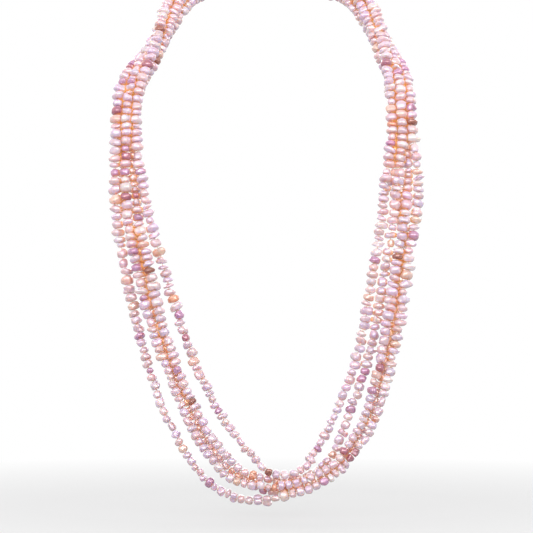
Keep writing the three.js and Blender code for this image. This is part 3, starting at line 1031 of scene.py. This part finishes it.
def clasp_cup():
    """Half of the barrel: magnet's pocket, rolled lip, knurled band, domed end and soldered loop."""
    bevel = 0.12
    pocket = plain(
        (POCKET_DEPTH, 0.1),
        (POCKET_DEPTH, 2.6),
        (POCKET_DEPTH - bevel, POCKET_RADIUS),
        (bevel, POCKET_RADIUS),
    )
    lip = plain((0.0, 2.85), (0.0, 3.05), (0.12, 3.22), (0.45, 3.3), (0.85, 3.22), (1.0, 3.05))
    band = [
        *((1.15, 3.02, 0.0), (1.25, 3.16, 0.05), (1.4, 3.2, 0.09), (2.2, 3.2, 0.09)),
        *((3.0, 3.2, 0.09), (3.15, 3.16, 0.05), (3.25, 3.02, 0.0)),
    ]
    dome = smooth_rows(
        [
            *plain((3.4, 3.05), (3.5, 3.24), (3.8, 3.28), (4.3, 3.12), (4.9, 2.78), (5.4, 2.3), (5.75, 1.85)),
            *plain((5.85, 1.6), (6.0, 1.5), (6.2, 1.3), (6.35, 0.95), (6.6, 0.72), (6.85, 0.62)),
        ],
        4,
    )
    last = plain((6.86, 0.1))
    loop = ring_path(CLASP_HALF + LOOP - WIRE, LOOP, -math.pi, math.pi, "XZ")
    rows = [*pocket, *smooth_rows(lip, 4), *band, *dome, *last]
    return [turned(rows, segments=192, flutes=48), wire(loop, WIRE, closed=True)]


def clasp_magnet():
    front = plain((0.0, 0.1), (0.0, MAGNET_RADIUS - 0.25), (0.06, MAGNET_RADIUS - 0.1), (0.2, MAGNET_RADIUS))
    back = plain(
        (MAGNET_DEPTH - 0.1, MAGNET_RADIUS),
        (MAGNET_DEPTH, MAGNET_RADIUS - 0.1),
        (MAGNET_DEPTH, 0.1),
    )
    return [turned([*front, *back], segments=64)]


def thread_knot(frame_there, strand_ends):
    """Thread wound and tied round the pin, and the five strands' threads that run into it."""
    place, axes = frame_there
    wound = np.linspace(0.0, 2.0 * math.pi, 420)
    rounds = 7
    passes = 4
    middle = KNOT_START + KNOT_LENGTH / 2.0
    radius = 1.25 + 0.42 * np.cos(rounds * wound)
    coil = np.column_stack([
        middle + 0.95 * np.sin(rounds * wound),
        radius * np.cos(passes * wound),
        radius * np.sin(passes * wound),
    ])
    knot_end = KNOT_START + KNOT_LENGTH
    outline = plain(
        (KNOT_START + 0.25, 0.55),
        (KNOT_START + 0.5, 1.2),
        (middle, 1.4),
        (knot_end - 0.4, 1.1),
        (knot_end - 0.2, 0.55),
    )
    core = turned(smooth_rows(outline, 5), segments=32)
    parts = [wire(coil, 0.3, closed=True), core]
    for end in strand_ends:
        start = axes @ (end - place) / MM
        rim = np.array([0.0, *start[1:]])
        rim *= 1.15 / np.linalg.norm(rim)
        stop = rim + np.array([KNOT_START + 0.7, 0.0, 0.0])
        bend = (start + stop) / 2.0 + rim * 0.4
        t = np.linspace(0.0, 1.0, 14)[:, None]
        parts.append(wire((1 - t) ** 2 * start + 2 * t * (1 - t) * bend + t**2 * stop, SILK / MM))
    return parts


def mark_recesses(mesh):
    """Stores how hollow the surface is at each point: 0 on a ridge, 0.5 where it is flat, 1 in a groove."""
    points = np.zeros(len(mesh.vertices) * 3)
    mesh.vertices.foreach_get("co", points)
    points = points.reshape(-1, 3)
    normals = np.zeros(len(mesh.vertices) * 3)
    mesh.vertices.foreach_get("normal", normals)
    normals = normals.reshape(-1, 3)
    edges = np.zeros(len(mesh.edges) * 2, dtype=int)
    mesh.edges.foreach_get("vertices", edges)
    first, second = np.concatenate([edges.reshape(-1, 2), edges.reshape(-1, 2)[:, ::-1]]).T
    count = np.bincount(first, minlength=len(points))
    step = points[second] - points[first]
    rise = (step * normals[first]).sum(axis=1) / np.linalg.norm(step, axis=1)
    hollow = np.bincount(first, weights=rise, minlength=len(points)) / count
    for _ in range(3):
        around = np.bincount(first, weights=hollow[second], minlength=len(points)) / count
        hollow = (hollow + around) / 2.0
    layer = mesh.attributes.new("recess", "FLOAT", "POINT")
    layer.data.foreach_set("value", np.clip(0.5 + 4.0 * hollow, 0.0, 1.0))


def add_hardware(name, parts, frame_there, material, node):
    obj = mesh_object(name, *placed(parts, frame_there))
    mark_recesses(obj.data)
    obj.data.set_sharp_from_angle(angle=math.radians(42.0))
    obj.data.materials.append(material)
    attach(obj, BODY_OF[node])
    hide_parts(node)


def add_nape(side, strand_ends, metals):
    silver, plated, silk = metals
    frames = nape_frames(side)
    pieces = (
        ("end_cone", end_cone(), "cone", silver, "silver"),
        ("eye_pin", eye_pin(), "cone", silver, "silver"),
        ("thread_knot", thread_knot(frames["cone"], strand_ends), "cone", silk, "silk"),
        ("jump_ring", jump_ring(), "ring", silver, "silver"),
        ("clasp_cup", clasp_cup(), "clasp", silver, "silver"),
        ("clasp_magnet", clasp_magnet(), "clasp", plated, "magnet"),
    )
    for piece, parts, where, material, slot in pieces:
        node = f"{side}_{piece}"
        add_hardware(f"{side}_fine_{piece}", parts, frames[where], material, node)


# ---- Build ----

add_camera()
add_studio()
add_floor()

nacre = nacre_material()
silk = silk_material()
necks = {strand: strand_necks(strand) for strand in STRANDS}
pearls = lay_out_pearls(necks)
nestle(pearls)
settle(pearls)
pearls_of = {}
for pearl in pearls:
    pearls_of.setdefault(pearl["node"], []).append(pearl)
for node, pearls_there in pearls_of.items():
    add_pearls(node, pearls_there, nacre)
add_threads(necks, pearls_of, silk)

silver = silver_material("silver", (0.62, 0.61, 0.585), (0.1, 0.09, 0.085), 0.14, 0.28, 900.0)
plated = silver_material("magnet_plating", (0.6, 0.605, 0.62), (0.3, 0.3, 0.32), 0.26, 0.42, 1600.0)
for side, first_or_last in (("left", 0), ("right", -1)):
    strand_ends = [necks[strand][f"{side}_tail"][first_or_last] for strand in STRANDS]
    add_nape(side, strand_ends, (silver, plated, silk))
